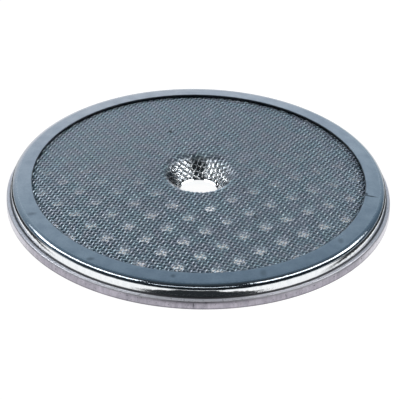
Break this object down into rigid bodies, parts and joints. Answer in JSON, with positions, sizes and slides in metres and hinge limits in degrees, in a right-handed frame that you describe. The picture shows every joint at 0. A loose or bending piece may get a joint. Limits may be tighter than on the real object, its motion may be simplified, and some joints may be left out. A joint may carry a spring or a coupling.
{
  "type": "espresso shower screen",
  "caption": "Round espresso shower screen: woven wire gauze over a domed perforated plate, held in a folded rim ring, with a countersunk centre hole.",
  "frame": {"origin": "centre of the screw hole's axis, on the plane of the folded edge that the screen rests on", "axes": "+Z along the screw hole's axis, out of the gauze side; X and Y are free, as the edge is round, and -Y faces the picture's camera"},
  "size_m": [0.057, 0.057, 0.0056],
  "materials": {
    "rim_ring": "pressed stainless steel, satin lip, bright drawn wall, matt folded edge",
    "backing_plate": "rolled stainless sheet with punched holes",
    "wire_gauze": "plain-woven stainless wire"
  },
  "bodies": {
    "root": {"rim_ring": "rim_ring", "backing_plate": "backing_plate", "wire_gauze": "wire_gauze"}
  },
  "joints": []
}
